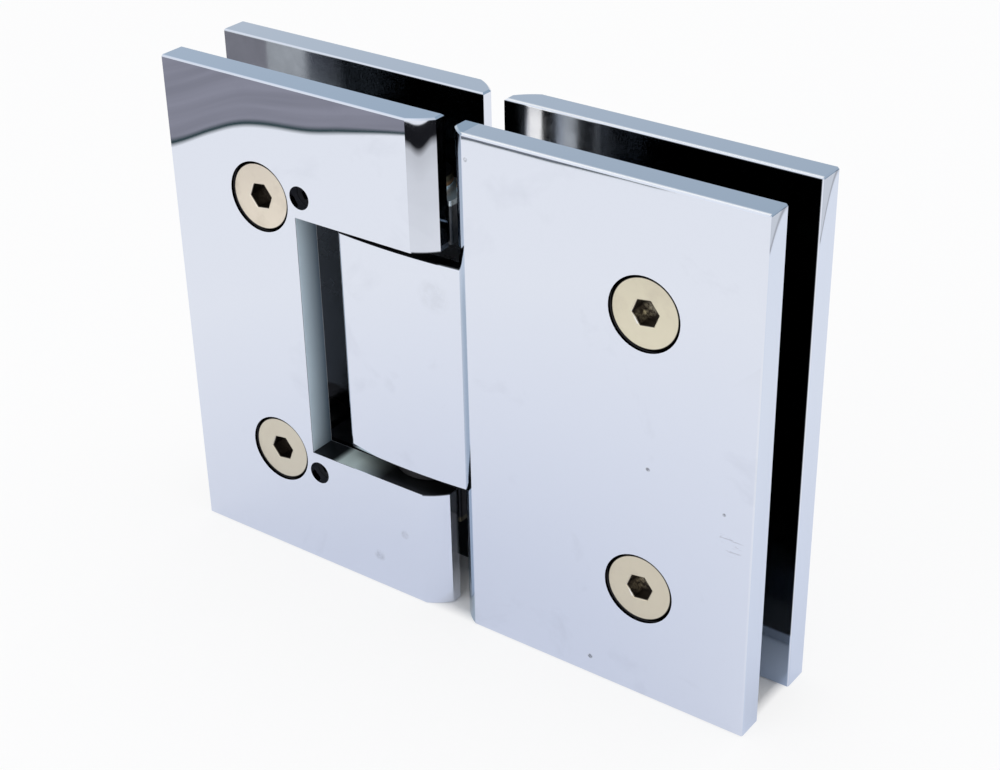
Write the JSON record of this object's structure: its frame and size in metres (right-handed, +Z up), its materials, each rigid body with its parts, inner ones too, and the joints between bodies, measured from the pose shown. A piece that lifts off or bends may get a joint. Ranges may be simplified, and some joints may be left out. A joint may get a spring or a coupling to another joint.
{
  "type": "glass-to-glass hinge",
  "caption": "Double-action pivot hinge that clamps a glass door to a fixed glass panel, with flat rectangular plates, a central knuckle and countersunk clamp screws.",
  "frame": {"origin": "middle of the hinge between the two leaves and between the front and rear plates, level with the lower edges of the plates", "axes": "+X along the plates from the door leaf to the fixed leaf, +Y through the glass from the screw heads to the rear plates, +Z up along the pivot"},
  "size_m": [0.114, 0.02, 0.09],
  "materials": {
    "polished_chrome": "mirror polished plating",
    "satin_nickel": "satin, turned",
    "black_acetal": "matt, black",
    "black_steel": "black oxide",
    "spring_steel": "drawn wire",
    "ground_steel": "ground"
  },
  "bodies": {
    "fixed_leaf": {"fixed_front_plate": "polished_chrome", "fixed_rear_plate": "polished_chrome", "upper_bush": "black_acetal", "lower_bush": "black_acetal", "spring_cover": "polished_chrome", "upper_cover_screw": "ground_steel", "lower_cover_screw": "ground_steel", "upper_spring": "spring_steel", "lower_spring": "spring_steel", "fixed_upper_clamp_screw": "satin_nickel", "fixed_lower_clamp_screw": "satin_nickel"},
    "door_leaf": {"door_front_plate": "polished_chrome", "door_rear_plate": "polished_chrome", "upper_pivot_arm": "polished_chrome", "lower_pivot_arm": "polished_chrome", "pivot_pin": "ground_steel", "upper_lock_screw": "black_steel", "lower_lock_screw": "black_steel", "upper_set_screw": "black_steel", "lower_set_screw": "black_steel", "door_upper_clamp_screw": "satin_nickel", "door_lower_clamp_screw": "satin_nickel"},
    "plunger": {"cam_plunger": "ground_steel"}
  },
  "joints": [
    {"name": "door_swing", "type": "hinge", "parent": "fixed_leaf", "child": "door_leaf", "pos_m": [-0.0105, 0, 0.045], "axis": [0, 0, 1], "range_deg": [-90, 90]},
    {"name": "plunger_travel", "type": "slide", "parent": "fixed_leaf", "child": "plunger", "axis": [1, 0, 0], "range_m": [0, 0.0007]}
  ]
}
